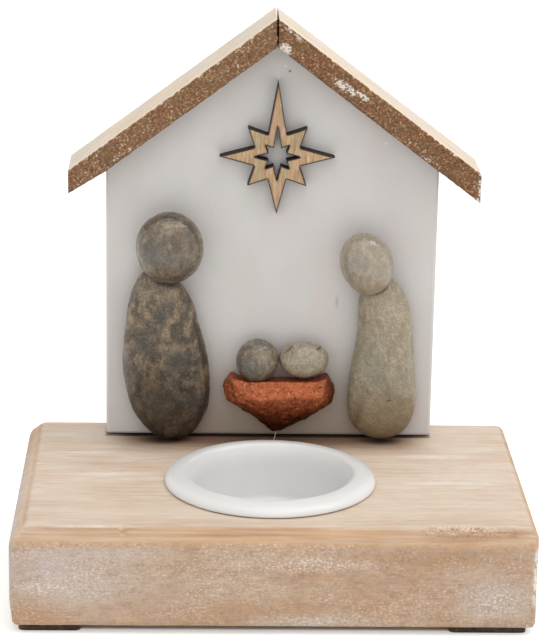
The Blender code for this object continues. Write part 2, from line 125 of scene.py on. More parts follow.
# Whitewashed pine: planed softwood, thin white wash wiped along the grain, so the early wood
# shows tan through a chalky film and the rubbed edges come out warm. Painted shade browns the
# wood at the panel's foot, with painted shadows under its edge and at the figures' feet.
blockLook = {
    "wood": "c79e74", "woodDark": "a37853", "wash": "e2d6c7", "fleck": "efe6da", "pore": "8f6c50",
    "frontShade": "f0ece8", "arris": "d8ae82", "chipWhite": "efe6dc", "chipBare": "7d614a",
    "corner": "f1eae2",
    "grainWidth": 0.9, "grainRun": 30, "fibreWidth": 0.55, "mottle": 1.5, "patch": 9,
    "topWash": 0.60, "frontWash": 0.26, "chamferWash": 0.12, "patchWash": 0.22,
    "roughness": 0.68, "relief": 0.05,
    # The first colour is painted shade in front of the panel's foot, the second painted shadow
    # under it and at the figures' feet
    "paintedShade": "99826f", "paintedShadow": "150e0a",
    "marks": [  # centre and reach in mm, then colour and strength, laid on in this order
        ((-58, -44, 17), (13, 6, 8), "cbc3c8", 1.0),
        ((-47, -44, 13), (26, 6, 10), "d2c7c0", 0.9),
        ((57, -44, 8), (15, 6, 8), "c9c0bb", 0.95),
        ((47, -44, 21.4), (24, 6, 3.6), "b1875d", 0.8),
        ((-60, -44, 4.5), (15, 6, 5), "c38c5e", 0.75),
        ((-15, -44, 6), (40, 6, 5), "bd9068", 0.4),
        ((61.5, -42.5, 27), (4.0, 3, 1.8), "9c7750", 0.8),
        ((-38.9, -42.5, 27.8), (1.4, 2, 0.8), "f3ead2", 1.6),
        ((-67.3, -16, 20), (2.2, 60, 18), "c7c3c6", 1.6),
        ((30, -44, 15), (16, 6, 6), "b79574", 0.5),
        ((46, -4, 28.4), (28, 34, 4), "e8dccd", 0.4),
        ((-44, -44, 21.5), (26, 6, 3.4), "d4cac5", 0.8),
        ((-24, -44, 12), (14, 6, 9), "ccbdb0", 0.5),
        ((12, -44, 3.6), (20, 6, 2.6), "cfc4ba", 0.8),
        ((57, -44, 13), (12, 6, 5), "c6bfbb", 0.7),
        ((-66, -8, 27.2), (3.2, 60, 2.6), "dfc9b3", 1.6),
        ((-51, 14.5, 28.4), (9, 1.5, 3), "f1e8dd", 0.8),
        ((-44, -2.5, 28.4), (17, 1.9, 3), "f1e8dd", 0.8),
        ((-30, -6, 28.4), (16, 1.6, 3), "f1e8dd", 0.5),
        # Painted highlight: a pale line along the top front arris
        ((-46, -40.6, 28.2), (14, 0.7, 0.7), "f1e8dd", 1.0),
        ((44, 13, 28.4), (17, 2.4, 3), "efe6dd", 0.9),
        ((48, -8, 28.4), (16, 1.6, 3), "efe6dd", 0.8),
    ],
    "contactShadows": [  # centre, reach and strength of the painted contact shadows where the figures' feet touch
        ((-28.5, 25.4, 28.4), (8.5, 4.6, 3), 1.5), ((31.5, 25.6, 28.4), (6.5, 4.2, 3), 1.2)],
    "powder": [  # centre, reach and strength of the drifts of white powder on the front
        ((9, -44, 19.2), (24, 6, 2.6), 1.5), ((12, -44, 3.6), (22, 6, 2.8), 1.0),
        ((57, -44, 10), (12, 6, 8), 1.1), ((-50, -44, 16), (24, 6, 9), 0.7),
        ((-58, -44, 12.4), (9, 6, 2.2), 1.2)],
}


def whitewashedPine():
    look = blockLook
    material, tree, shader, place = newMaterial("whitewashed planed pine")
    upward = add(tree, "SeparateXYZ", {"Vector": place.node.outputs["Normal"]}, out=2)
    flat = add(tree, "MapRange", {"Value": upward, "From Min": 0.80, "From Max": 0.97})
    upright = add(tree, "MapRange", {"Value": upward, "From Min": 0.60, "From Max": 0.30})
    grain = cloud(tree, place, look["grainWidth"], 0.34, 0.68, (look["grainRun"], 1, 1), 5)
    fibres = cloud(tree, place, look["fibreWidth"], 0.34, 0.70, (12, 1, 1), 3, 4)
    mottle = cloud(tree, place, look["mottle"], 0.34, 0.68, (1.8, 1, 1), 4, 14)
    patches = cloud(tree, place, look["patch"], 0.38, 0.64, (2.4, 1, 1), 4, 9)
    figure = add(tree, "Mix", {0: upright, 2: grain, 3: mottle})
    wood = over(tree, look["woodDark"], look["wood"], figure)
    amount = add(tree, "MapRange", {"Value": flat, "To Min": look["chamferWash"],
                                    "To Max": look["topWash"]})
    amount = add(tree, "Math", {0: upright, 1: look["frontWash"] - look["chamferWash"], 2: amount},
                 operation="MULTIPLY_ADD")
    amount = add(tree, "Math", {0: patches, 1: look["patchWash"], 2: amount},
                 operation="MULTIPLY_ADD")
    broken = add(tree, "MapRange", {"Value": fibres, "To Min": 0.72, "To Max": 1.10})
    colour = over(tree, wood, look["wash"], [amount, broken])
    ragged = add(tree, "MapRange", {"Value": mottle, "To Min": 0.45, "To Max": 1.0})
    for centre, reach, code, strength in look["marks"]:
        mark = [spot(tree, place, centre, reach, strength), ragged]
        colour = over(tree, colour, code, mark)
    # The arris at the chamfer's foot is rubbed back to warm wood
    lower = [band(tree, place, "Z", 23.4, 24.9), band(tree, place, "Z", 26.0, 25.1), upright]
    colour = over(tree, colour, look["arris"], lower, 0.6)
    colour = over(tree, colour, look["frontShade"], upright, 1.0, "MULTIPLY")
    # Specks of wash left in the pores of the upright faces, powdery and in drifts. The real ones
    # are about 0.2 mm across, and are drawn coarser so that they show.
    drifts = add(tree, "MapRange", {"Value": cloud(tree, place, 6, 0.42, 0.60, (2, 1, 1), 2, 52),
                                    "To Min": 0.25})
    flecks = cloud(tree, place, 0.55, 0.50, 0.76, (1.4, 1, 1), 4, 21)
    colour = over(tree, colour, look["fleck"], [flecks, upright, drifts], 0.65)
    powder = cloud(tree, place, 0.5, 0.47, 0.66, (1.5, 1, 1), 5, 57)
    for centre, reach, strength in look["powder"]:
        drift = [spot(tree, place, centre, reach, strength), powder]
        colour = over(tree, colour, look["fleck"], drift, 0.8)
    pores = cloud(tree, place, 0.7, 0.52, 0.76, (1.8, 1, 1), 4, 27)
    colour = over(tree, colour, look["pore"], [pores, upright], 0.42)
    # Chipped front arris on the right, white above and bare wood below, and the white corner
    chips = [spot(tree, place, (47, -42.2, 28.1), (15, 4, 1.1), 2.6),
             cloud(tree, place, 0.45, 0.53, 0.66, (1.2, 1, 1), 3, 33)]
    colour = over(tree, colour, look["chipWhite"], chips, 0.75)
    chips = [spot(tree, place, (50, -42.4, 27.5), (16, 4, 1.8), 2.4),
             cloud(tree, place, 0.5, 0.52, 0.64, (1.2, 1, 1), 3, 39)]
    colour = over(tree, colour, look["chipBare"], chips, 0.7)
    edge = [band(tree, place, "X", 65.9, 66.9), spot(tree, place, (67, -44, 16), (4, 4, 9), 3.0),
            cloud(tree, place, 0.8, 0.40, 0.52, (1, 1, 2), 2, 45)]
    colour = over(tree, colour, look["corner"], edge, 0.9)
    # The panel's foot: painted shade in front of it, painted contact shadows at the figures' feet,
    # and a painted black shadow under its front edge
    front = [band(tree, place, "Y", 11.5, 26.5), band(tree, place, "X", 47, 34, sides=True), flat]
    colour = over(tree, colour, look["paintedShade"], front, 1.0, "MULTIPLY")
    for centre, reach, strength in look["contactShadows"]:
        colour = over(tree, colour, look["paintedShadow"], spot(tree, place, centre, reach, strength), 0.9)
    # Painted shadow: black in the gap under the panel's front edge and just before it
    paintedShadow = [band(tree, place, "Y", 28.0, 28.8), band(tree, place, "Y", 39.8, 39.2),
            band(tree, place, "X", 45.8, 45.0, sides=True),
            band(tree, place, "X", 46, 36, 0.6, 1.0, sides=True)]
    colour = over(tree, colour, look["paintedShadow"], paintedShadow, 0.96)
    height = add(tree, "Math", {0: figure, 1: 0.6, 2: fibres}, operation="MULTIPLY_ADD")
    finishShader(tree, shader, colour, look["roughness"], height, look["relief"])
    return material


# White enamel over pressed steel: fired glass coat, smooth, with a faint orange peel
enamelLook = {"white": "e1e0de", "shade": "dddcda", "peel": 3.5, "roughness": 0.30,
              "relief": 0.012, "index": 1.52}


def whiteEnamel():
    look = enamelLook
    material, tree, shader, place = newMaterial("fired white enamel")
    peel = cloud(tree, place, look["peel"], 0.2, 0.8, (1, 1, 1), 2)
    tint = cloud(tree, place, 16, 0.3, 0.7, (1, 1, 1), 2, 5)
    colour = over(tree, look["shade"], look["white"], tint)
    finishShader(tree, shader, colour, look["roughness"], peel, look["relief"])
    shader.inputs["IOR"].default_value = look["index"]
    return material


# Satin white paint rolled on board: nearly flat, a stippled skin that softens the light, with
# painted shade browning it low down between the figures
panelLook = {
    "paint": "dad7d4", "shade": "d1cdcb", "pink": "d7ccc9", "green": "d1d2ca", "paintedShade": "c8b9a8",
    "stipple": 0.9, "roughness": 0.48, "relief": 0.02,
    "marks": [  # centre, reach, colour and strength
        ((4.2, 29.5, 132.0), (0.45, 3, 0.45), "6f6a68", 1.6),
        ((-48, 29.5, 96), (0.5, 3, 0.5), "8d8885", 1.6),
        ((3.0, 29.5, 133.4), (0.5, 3, 0.5), "edebe8", 1.6),
        ((30.6, 29.5, 112.4), (0.45, 3, 0.45), "ece9e6", 1.4),
        ((18.4, 29.5, 67.6), (0.7, 3, 2.4), "b9b1b0", 0.9),
        ((-25.5, 29.5, 123.5), (0.6, 3, 0.6), "ebe8e5", 1.6)],
}


def satinWhitePaint():
    look = panelLook
    material, tree, shader, place = newMaterial("rolled satin white paint")
    drift = cloud(tree, place, 22, 0.3, 0.7, (1, 1, 1.4), 3)
    stipple = cloud(tree, place, look["stipple"], 0.3, 0.7, (1, 1, 1), 2, 3)
    colour = over(tree, look["shade"], look["paint"], drift)
    pink = cloud(tree, place, 9, 0.50, 0.64, (1, 1, 2), 2, 8)
    green = cloud(tree, place, 8, 0.52, 0.64, (1, 1, 2), 2, 15)
    colour = over(tree, colour, look["pink"], pink, 0.35)
    colour = over(tree, colour, look["green"], green, 0.35)
    for centre, reach, code, strength in look["marks"]:
        colour = over(tree, colour, code, spot(tree, place, centre, reach, strength))
    # Painted shade: browner low down between the figures
    paintedShade = [band(tree, place, "X", 38, 25, 0.06, 1.0, sides=True), band(tree, place, "Z", 60, 31),
             band(tree, place, "Y", 30.5, 29.7)]
    colour = over(tree, colour, look["paintedShade"], paintedShade, 1.0, "MULTIPLY")
    finishShader(tree, shader, colour, look["roughness"], stipple, look["relief"])
    return material


# Stained pine boards: the sawn front faces soak the stain up brown, with pale crumbs of wood and
# dark pores, while the flat upper faces keep a cream wash
roofLook = {
    "stain": "8c6645", "stainDark": "4f321d", "stainWarm": "835031", "stainOlive": "735c39",
    "crumb": "c49f78", "whiteCrumb": "ded0bd", "edge": "4a3626", "paint": "e9e0d6",
    "wash": "e5d5c2", "washTan": "d9bf9f", "washGrey": "d5cfc6", "arris": "f0d9b8",
    "crumbSize": 0.62, "fineSize": 0.62, "roughness": 0.78, "relief": 0.06,
    # The roof's form: pitch in degrees, front face and ridge in mm, a board's height measured
    # upright, and how much steeper its underside runs than its top
    "pitch": 36.9, "front": 21.1, "ridge": (0.55, 147.9), "plumb": 8.07,
    "growth": {-1: 0.0, 1: 0.00665},
    # Painted shade: the right board is darkened a little against the side lamp's light
    "shade": {-1: "ffffff", 1: "f3eae1"},
    "smears": {  # centre, reach, strength and tilt, on the front face or the eave's end
        1: [((2.6, 22, 139.6), (2.2, 6, 1.9), 3.0, 30),
            ((5.0, 22, 143.8), (4.6, 6, 1.8), 0.9, 37),
            ((18.6, 22, 129.6), (5.4, 6, 1.5), 1.8, 35),
            ((23.6, 22, 126.8), (4.6, 6, 1.1), 1.4, 33),
            ((41.2, 22, 110.4), (4.6, 6, 1.3), 0.8, 40),
            ((36.4, 22, 114.8), (3.0, 6, 1.0), 0.6, 30),
            ((55.9, 22, 101.6), (1.4, 6, 4.6), 1.3, 0),
            ((55.8, 22, 98.8), (1.8, 6, 1.6), 2.0, 0)],
        -1: [((-42.0, 22, 109.6), (2.6, 6, 0.9), 0.7, -37),
             ((-38.5, 22, 112.0), (2.4, 6, 0.7), 0.7, -37),
             ((-51.5, 22, 102.8), (3.4, 6, 0.8), 0.65, -37)]},
}


def stainedPine(name, side):
    look = roofLook
    material, tree, shader, place = newMaterial(name)
    # Height over the board's underside, in m, from the roof's own slope
    slope = math.tan(math.radians(look["pitch"])) + look["growth"][side]
    under = [side * slope, 0.0, 1.0]
    above = add(tree, "VectorMath", {0: place, 1: under}, out=1, operation="DOT_PRODUCT")
    ridgeX, ridgeZ = look["ridge"]
    foot = (ridgeZ - look["plumb"] + side * slope * ridgeX) * mm
    above = add(tree, "Math", {0: above, 1: foot}, operation="SUBTRACT")
    fine = cloud(tree, place, look["fineSize"], 0.38, 0.62, (1.3, 1, 1), 3, 2)
    soak = cloud(tree, place, 2.4, 0.42, 0.60, (1.3, 1, 1), 3, 8)
    drift = cloud(tree, place, 5.5, 0.40, 0.60, (1.2, 1, 1), 2, 12)
    stain = over(tree, look["stain"], look["stainDark"], fine, 0.85)
    stain = over(tree, stain, look["stainWarm"], soak, 0.5)
    stain = over(tree, stain, look["stainOlive"], drift, 0.4)
    groups = cloud(tree, place, 3.0, 0.36, 0.60, (1.4, 1, 1), 2, 25)
    groups = add(tree, "MapRange", {"Value": groups, "To Min": 0.3})
    crumbs = cloud(tree, place, look["crumbSize"], 0.52, 0.64, (1.1, 1, 1), 4, 17)
    stain = over(tree, stain, look["crumb"], [crumbs, groups], 0.8)
    white = cloud(tree, place, look["crumbSize"], 0.61, 0.70, (1.1, 1, 1), 3, 61)
    stain = over(tree, stain, look["whiteCrumb"], [white, groups], 0.85)
    ragged = cloud(tree, place, 0.7, 0.30, 0.70, (1, 1, 1), 2, 40)
    # A dark line along the board's lower arris: stain soaked into the edge, and painted shade
    edge = add(tree, "MapRange", {"Value": above, "From Min": 0.75 * mm, "From Max": 0.2 * mm},
               interpolation_type="SMOOTHSTEP")
    stain = over(tree, stain, look["edge"], [edge, ragged], 0.85)
    # Painted shade: the right board's stained faces are darkened a little against the side lamp's
    # light
    stain = over(tree, stain, look["shade"][side], 1.0, 1.0, "MULTIPLY")
    for centre, reach, strength, tilt in look["smears"][side]:
        smear = add(tree, "Math", {0: spot(tree, place, centre, reach, strength, tilt),
                                   1: cloud(tree, place, 0.55, 0.38, 0.62, (1.3, 1, 1), 5, 50)},
                    operation="ADD")
        smear = add(tree, "MapRange", {"Value": smear, "From Min": 1.05, "From Max": 1.6})
        stain = over(tree, stain, look["paint"], smear, 0.9)
    streaks = cloud(tree, place, 1.6, 0.36, 0.66, (9, 2, 6), 4, 31)
    wash = over(tree, look["wash"], look["washTan"], streaks, 0.6)
    grey = cloud(tree, place, 6, 0.42, 0.60, (2, 1, 1), 3, 36)
    wash = over(tree, wash, look["washGrey"], grey, 0.6)
    wash = over(tree, wash, look["arris"], band(tree, place, "Y", 24.0, 22.2), 0.7)
    upward = add(tree, "SeparateXYZ", {"Vector": place.node.outputs["Normal"]}, out=2)
    sawn = add(tree, "MapRange", {"Value": upward, "From Min": 0.45, "From Max": 0.30})
    facing = band(tree, place, "Y", look["front"] + 0.45, look["front"])
    brown = add(tree, "Math", {0: sawn, 1: facing}, operation="MAXIMUM")
    colour = over(tree, wash, stain, brown)
    height = add(tree, "Math", {0: crumbs, 1: 0.6, 2: fine}, operation="MULTIPLY_ADD")
    finishShader(tree, shader, colour, look["roughness"], height, look["relief"])
    return material


# Laser-cut plywood: birch face with fine upright grain, the cut sides charred by the beam and a
# scorched outline round the face
starLook = {"face": "c9a881", "faceDark": "a28460", "pink": "c79e84", "olive": "a69a78",
            "pale": "e2cfb8", "char": "1d110b", "outline": 0.85, "roughness": 0.72,
            "relief": 0.03}


def laserCutPly():
    look = starLook
    material, tree, shader, place = newMaterial("laser-cut birch ply")
    grain = cloud(tree, place, 0.5, 0.36, 0.64, (1, 1, 9), 3)
    face = over(tree, look["face"], look["faceDark"], grain, 0.9)
    pink = cloud(tree, place, 2.2, 0.48, 0.60, (1, 1, 3), 2, 6)
    olive = cloud(tree, place, 2.6, 0.52, 0.62, (1, 1, 3), 2, 19)
    pale = cloud(tree, place, 0.6, 0.62, 0.70, (1, 1, 6), 2, 29)
    face = over(tree, face, look["pink"], pink, 0.5)
    face = over(tree, face, look["olive"], olive, 0.7)
    face = over(tree, face, look["pale"], pale, 0.6)
    forward = add(tree, "SeparateXYZ", {"Vector": place.node.outputs["Normal"]}, out=1)
    facing = add(tree, "MapRange", {"Value": forward, "From Min": -0.75, "From Max": -0.97})
    # A rounded normal leans away from the face near a cut edge, which places the scorched line
    rounded = add(tree, "Bevel", {"Radius": look["outline"] * mm}, samples=8)
    within = add(tree, "SeparateXYZ", {"Vector": rounded}, out=1)
    within = add(tree, "MapRange", {"Value": within, "From Min": -0.955, "From Max": -0.995})
    inner = over(tree, look["char"], face, within)
    colour = over(tree, look["char"], inner, facing)
    finishShader(tree, shader, colour, look["roughness"], grain, look["relief"])
    return material


# Beach pebbles under clear varnish: mottled mineral grain, with gloss on the rounds. Mottle and
# cloud are the widths of the patches in mm, foot the heights in mm between which the brown at the
# foot fades out, and each mark a centre, reach, colour, strength and tilt.
pebbleLooks = {
    "dark": {
        "base": "7d6a53", "dark": "443829", "light": "b09a7e", "cold": "4e4c43", "low": "281e13",
        "mottle": 1.7, "cloud": 5.5, "patch": 0.8, "foot": (30, 74), "footStrength": 0.80,
        "roughness": 0.34, "gloss": 0.4,
        "marks": [((-29.7, 18, 66), (2.6, 30, 4), "4e4e47", 1.0, 0),
                  ((-31, 18, 43), (6, 30, 5), "4c4c46", 0.9, 0),
                  # Painted shadow of the head on the top of the body
                  ((-28.2, 18, 74.4), (5.5, 30, 1.9), "18110b", 2.0, 0),
                  ((-24.5, 18, 59), (2.6, 30, 2.2), "433d33", 1.0, 0),
                  ((-26.5, 18, 52), (2.6, 30, 6), "44423b", 1.0, 35),
                  ((-34.5, 18, 58), (2.4, 30, 5), "4d4c45", 0.9, -20),
                  ((-29, 18, 72), (7, 30, 5), "a4907a", 0.6, 0),
                  ((-36, 18, 72), (5, 30, 3), "8e8878", 0.8, 0)]},
    "darkHead": {
        "base": "6d604f", "dark": "463c30", "light": "97876f", "cold": "53524b", "low": "503c2a",
        "mottle": 1.5, "cloud": 4.5, "patch": 0.65, "foot": (74, 83), "footStrength": 0.55,
        "roughness": 0.26, "gloss": 0.7,
        "marks": [((-27.6, 18, 83), (6.5, 30, 3.6), "65645d", 1.0, 0),
                  ((-28, 18, 94.4), (9, 30, 1.6), "4f463a", 1.3, 0)]},
    "pale": {
        "base": "9f937d", "dark": "80745f", "light": "b6ab95", "cold": "898a74", "low": "765f41",
        "mottle": 1.4, "cloud": 7, "patch": 0.38, "foot": (30, 52), "footStrength": 0.70,
        "roughness": 0.38, "gloss": 0.4,
        "marks": [((32.9, 18, 41.9), (0.9, 30, 0.45), "4a2c12", 2.2, 0),
                  ((29.5, 18, 50), (5, 30, 7), "8d9080", 0.8, 0),
                  ((35.5, 18, 66), (2.2, 30, 2.4), "c6ba97", 0.7, 0),
                  ((32, 18, 68), (8, 30, 7), "b8ad97", 0.7, 0),
                  ((24.4, 18, 36), (1.6, 30, 9), "5d4c36", 1.2, 12)]},
    "paleHead": {
        "base": "a39783", "dark": "857967", "light": "b9ad98", "cold": "8f8c85", "low": "847052",
        "mottle": 1.4, "cloud": 5, "patch": 0.38, "foot": (71, 78), "footStrength": 0.5,
        "roughness": 0.30, "gloss": 0.7,
        "marks": [((23.5, 18, 82), (4.5, 30, 3.6), "96938d", 0.9, 0),
                  ((26.5, 18, 90.4), (5, 30, 1.0), "7d745f", 0.9, 0)]},
    "infantHead": {
        "base": "7b6f60", "dark": "574c40", "light": "a3927a", "cold": "62625a", "low": "483d2f",
        "mottle": 1.2, "cloud": 3.5, "patch": 0.55, "foot": (46, 52), "footStrength": 0.6,
        "roughness": 0.36, "gloss": 0.5,
        "marks": [((-5.6, 18, 50.5), (3.4, 30, 3.2), "666760", 1.0, 0),
                  ((-2.2, 18, 54.6), (3.0, 30, 2.0), "a8967c", 0.9, 0)]},
    "infantBody": {
        "base": "a39783", "dark": "887e6b", "light": "bdb29e", "cold": "8f9078", "low": "7b6448",
        "mottle": 1.2, "cloud": 3.5, "patch": 0.4, "foot": (46, 51), "footStrength": 0.6,
        "roughness": 0.34, "gloss": 0.5,
        "marks": [((13.4, 18, 56.0), (1.2, 30, 0.4), "38342a", 1.6, -8),
                  ((5.2, 18, 55.6), (2.2, 30, 0.35), "4a4432", 1.4, -42)]},
}
# What all the pebbles' varnish and stone have in common
pebbleFinish = {"relief": 0.14, "stoneGloss": 0.2, "varnishIndex": 1.6, "varnishRoughness": 0.08}


def varnishedPebble(kind):
    look = pebbleLooks[kind]
    material, tree, shader, place = newMaterial("varnished beach pebble " + kind)
    shift = 3.7 * list(pebbleLooks).index(kind)  # so that no two pebbles share a pattern
    mottle = cloud(tree, place, look["mottle"], 0.40, 0.60, (1, 1, 1.4), 6, shift)
    fine = cloud(tree, place, 0.6, 0.42, 0.60, (1, 1, 1), 4, shift + 23)
    colour = over(tree, look["base"], look["light"], mottle, 0.7)
    colour = over(tree, colour, look["dark"],
                  cloud(tree, place, look["cloud"] * 0.5, 0.48, 0.58, (1, 1, 1.5), 6, shift + 11),
                  look["patch"])
    colour = over(tree, colour, look["cold"],
                  cloud(tree, place, look["cloud"], 0.50, 0.60, (1, 1, 1.3), 6, shift + 17),
                  look["patch"])
    for centre, reach, code, strength, tilt in look["marks"]:
        colour = over(tree, colour, code, spot(tree, place, centre, reach, strength, tilt), 0.9)
    # Mineral grain. The real grains are about 0.2 mm across, and are drawn coarser so that they
    # show.
    colour = over(tree, colour, look["low"], fine, 0.40)
    grit = cloud(tree, place, 0.5, 0.56, 0.70, (1, 1, 1), 3, shift + 31)
    colour = over(tree, colour, look["light"], grit, 0.5)
    foot = band(tree, place, "Z", look["foot"][1], look["foot"][0])
    colour = over(tree, colour, look["low"], foot, look["footStrength"])
    height = add(tree, "Math", {0: fine, 1: 0.5, 2: mottle}, operation="MULTIPLY_ADD")
    finishShader(tree, shader, colour, look["roughness"], height, pebbleFinish["relief"])
    shader.inputs["Specular IOR Level"].default_value = pebbleFinish["stoneGloss"]
    shader.inputs["Coat Weight"].default_value = look["gloss"]
    shader.inputs["Coat IOR"].default_value = pebbleFinish["varnishIndex"]
    shader.inputs["Coat Roughness"].default_value = pebbleFinish["varnishRoughness"]
    return material


# Copper paint brushed over a rough stone, with painted light: bright above, shaded dark and red
# below
mangerLook = {"bright": "a95d3b", "paint": "803c1d", "thinPaintAndShade": "3a1407", "pit": "2a0f08",
              "grain": "d68c60", "roughness": 0.45, "relief": 0.12, "metallic": 0.5,
              "gloss": 0.2}


def copperPaint():
    look = mangerLook
    material, tree, shader, place = newMaterial("brushed copper paint on stone")
    uneven = cloud(tree, place, 1.6, 0.34, 0.66, (1, 1, 1), 5, 2)
    # Random unevenness plus painted light, brighter towards the top
    wornAndLit = add(tree, "Math", {0: uneven, 1: 0.55, 2: band(tree, place, "Z", 33, 44.5)},
               operation="MULTIPLY_ADD")
    tone = add(tree, "MapRange", {"Value": wornAndLit, "From Min": 0.15, "From Max": 1.40})
    colour = add(tree, "ValToRGB", {"Fac": tone},
                 stops=[(0.05, look["thinPaintAndShade"]), (0.50, look["paint"]), (0.90, look["bright"])])
    pits = cloud(tree, place, 0.9, 0.56, 0.66, (1, 1, 1), 4, 13)
    colour = over(tree, colour, look["pit"], pits, 0.6)
    # Painted glints: bright grains only on the upper facet
    paintedGlints = [cloud(tree, place, 0.5, 0.56, 0.70, (1, 1, 1), 3, 22),
              band(tree, place, "Z", 36, 43)]
    colour = over(tree, colour, look["grain"], paintedGlints, 0.7)
    # Painted shade: darker towards both ends of the stone
    colour = over(tree, colour, look["thinPaintAndShade"], band(tree, place, "X", 13.9, 17.1), 0.7)
    colour = over(tree, colour, look["thinPaintAndShade"], band(tree, place, "X", -11.4, -14.1), 0.5)
    finishShader(tree, shader, colour, look["roughness"], uneven, look["relief"])
    shader.inputs["Metallic"].default_value = look["metallic"]
    shader.inputs["Specular IOR Level"].default_value = look["gloss"]
    return material


# Pressed wool felt: matted dark fibres, no gloss, a soft sheen at the edges
feltLook = {"dark": "2a1d15", "light": "54433a", "fibre": 0.5, "roughness": 0.95,
            "relief": 0.15, "sheen": 0.3}


def pressedFelt():
    look = feltLook
    material, tree, shader, place = newMaterial("pressed brown felt")
    fibres = cloud(tree, place, look["fibre"], 0.32, 0.70, (3, 1, 1), 4)
    colour = over(tree, look["dark"], look["light"], fibres)
    finishShader(tree, shader, colour, look["roughness"], fibres, look["relief"])
    shader.inputs["Sheen Weight"].default_value = look["sheen"]
    return material


# Zinc-plated steel: drawn wire, pale grey metal with faint turning marks
zincLook = {"dark": "a9a59a", "light": "c7c3b8", "marks": 0.4, "roughness": 0.36, "relief": 0.01}


def zincPlate():
    look = zincLook
    material, tree, shader, place = newMaterial("zinc-plated drawn steel")
    marks = cloud(tree, place, look["marks"], 0.3, 0.7, (6, 6, 1), 3)
    colour = over(tree, look["dark"], look["light"], marks)
    finishShader(tree, shader, colour, look["roughness"], marks, look["relief"])
    shader.inputs["Metallic"].default_value = 1.0
    return material


# Hot-melt glue: clear and slightly milky, glossy where it was pulled to a thread
glueLook = {"dark": "a9a59c", "light": "dedbd4", "ripple": 0.8, "roughness": 0.15,
            "relief": 0.02, "clear": 0.6}


def clearGlue():
    look = glueLook
    material, tree, shader, place = newMaterial("pulled clear hot-melt glue")
    ripple = cloud(tree, place, look["ripple"], 0.3, 0.7, (1, 1, 1), 2)
    colour = over(tree, look["dark"], look["light"], ripple)
    finishShader(tree, shader, colour, look["roughness"], ripple, look["relief"])
    shader.inputs["Transmission Weight"].default_value = look["clear"]
    return material


def dress(piece, material):
    piece.data.materials.clear()
    piece.data.materials.append(material)


def standFor(piece, node):
    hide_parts(node)
    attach(piece, "root")


def evenFaces(piece, voxel, sharp=False):
    # Even faces all over, about voxel mm wide, ready to be worn and dented. Sharp keeps arrises.
    remesh = piece.modifiers.new("even faces", "REMESH")
    remesh.mode = "SHARP" if sharp else "VOXEL"
    remesh.voxel_size = voxel * mm
    remesh.octree_depth = 8
    remesh.scale = max(piece.dimensions) / (voxel * mm) / 2 ** remesh.octree_depth
    evaluated = piece.evaluated_get(bpy.context.evaluated_depsgraph_get())
    fine = bpy.data.meshes.new_from_object(evaluated)
    piece.modifiers.clear()
    piece.data = fine


def fineCopy(node, name, voxel, sharp=False):
    bm = bmesh.new()
    bm.from_mesh(nodes[node].data)
    bmesh.ops.remove_doubles(bm, verts=bm.verts, dist=0.005 * mm)
    mesh = bpy.data.meshes.new(name)
    bm.to_mesh(mesh)
    bm.free()
    piece = bpy.data.objects.new(name, mesh)
    bpy.context.scene.collection.objects.link(piece)
    evenFaces(piece, voxel, sharp)
    return piece


def reshape(piece, rounds, depthAt):
    # Smooths the voxel steps away, then moves each point along its normal by depthAt, in mm
    bm = bmesh.new()
    bm.from_mesh(piece.data)
    for step in range(rounds):
        bmesh.ops.smooth_vert(bm, verts=bm.verts, factor=0.5, use_axis_x=True, use_axis_y=True,
                              use_axis_z=True)
    bm.normal_update()
    moves = [(vert, vert.normal * depthAt(vert.co / mm, vert.normal) * mm) for vert in bm.verts]
    for vert, move in moves:
        vert.co += move
    bm.to_mesh(piece.data)
    bm.free()
    piece.data.shade_smooth()


# Wear on the block: hollows between growth rings, nicks on the front edges
blockWear = {
    "voxel": 0.75, "grain": 0.05, "grainRun": 40, "grainWidth": 1.4, "wave": 0.10,
    "waveWidth": 14,
    "nicks": [((-38.6, -41.3, 26.6), 1.5, 0.55), ((66.6, -43.4, 20.5), 1.3, 0.5),
              ((66.8, -43.5, 15.2), 1.6, 0.6), ((66.7, -43.4, 11.0), 1.2, 0.4),
              ((40.0, -41.0, 27.6), 1.3, 0.4), ((45.5, -41.0, 27.6), 1.5, 0.45),
              ((51.5, -41.0, 27.5), 1.4, 0.4), ((-65.9, -43.2, 12.0), 1.8, 0.35)],
}


def blockDepth(point, normal):
    wear = blockWear
    along = Vector((point.x / wear["grainRun"], point.y / wear["grainWidth"],
                    point.z / wear["grainWidth"]))
    grain = noise.fractal(along, 0.8, 2.0, 3)
    wave = noise.noise(point / wear["waveWidth"])
    depth = -abs(grain) * wear["grain"] - abs(wave) * wear["wave"]
    for centre, reach, deep in wear["nicks"]:
        away = (point - Vector(centre)).length / reach
        if away < 1.0:
            depth -= deep * (1.0 - away * away)
    return depth


# Wear on the roof boards: saw marks all over, and arrises crumbled here and there
roofWear = {"voxel": 0.36, "saw": 0.12, "sawRun": 2.2, "sawWidth": 0.9, "planed": 0.08,
            "edge": 0.75, "edgeReach": 0.9, "crumble": 1.1, "thickness": 6.45}


def roofDepth(point, normal):
    wear = roofWear
    along = Vector((point.x / wear["sawRun"], point.y / wear["sawWidth"],
                    point.z / wear["sawRun"]))
    saw = noise.fractal(along, 0.8, 2.0, 3)
    depth = -abs(saw) * wear["saw"] - wear["planed"]
    ridgeX, ridgeZ = roofLook["ridge"]
    pitch = math.radians(roofLook["pitch"])
    inFront = point.y - roofLook["front"]
    below = (ridgeZ - point.z) * math.cos(pitch) - abs(point.x - ridgeX) * math.sin(pitch)
    # How far in from the nearer of the board's two front arrises
    nearest = max(inFront, min(below, abs(wear["thickness"] - below)))
    if nearest < wear["edgeReach"]:
        bite = max(0.0, noise.noise(point / wear["crumble"]) - 0.05)
        depth -= bite * (1.0 - nearest / wear["edgeReach"]) * wear["edge"]
    return depth


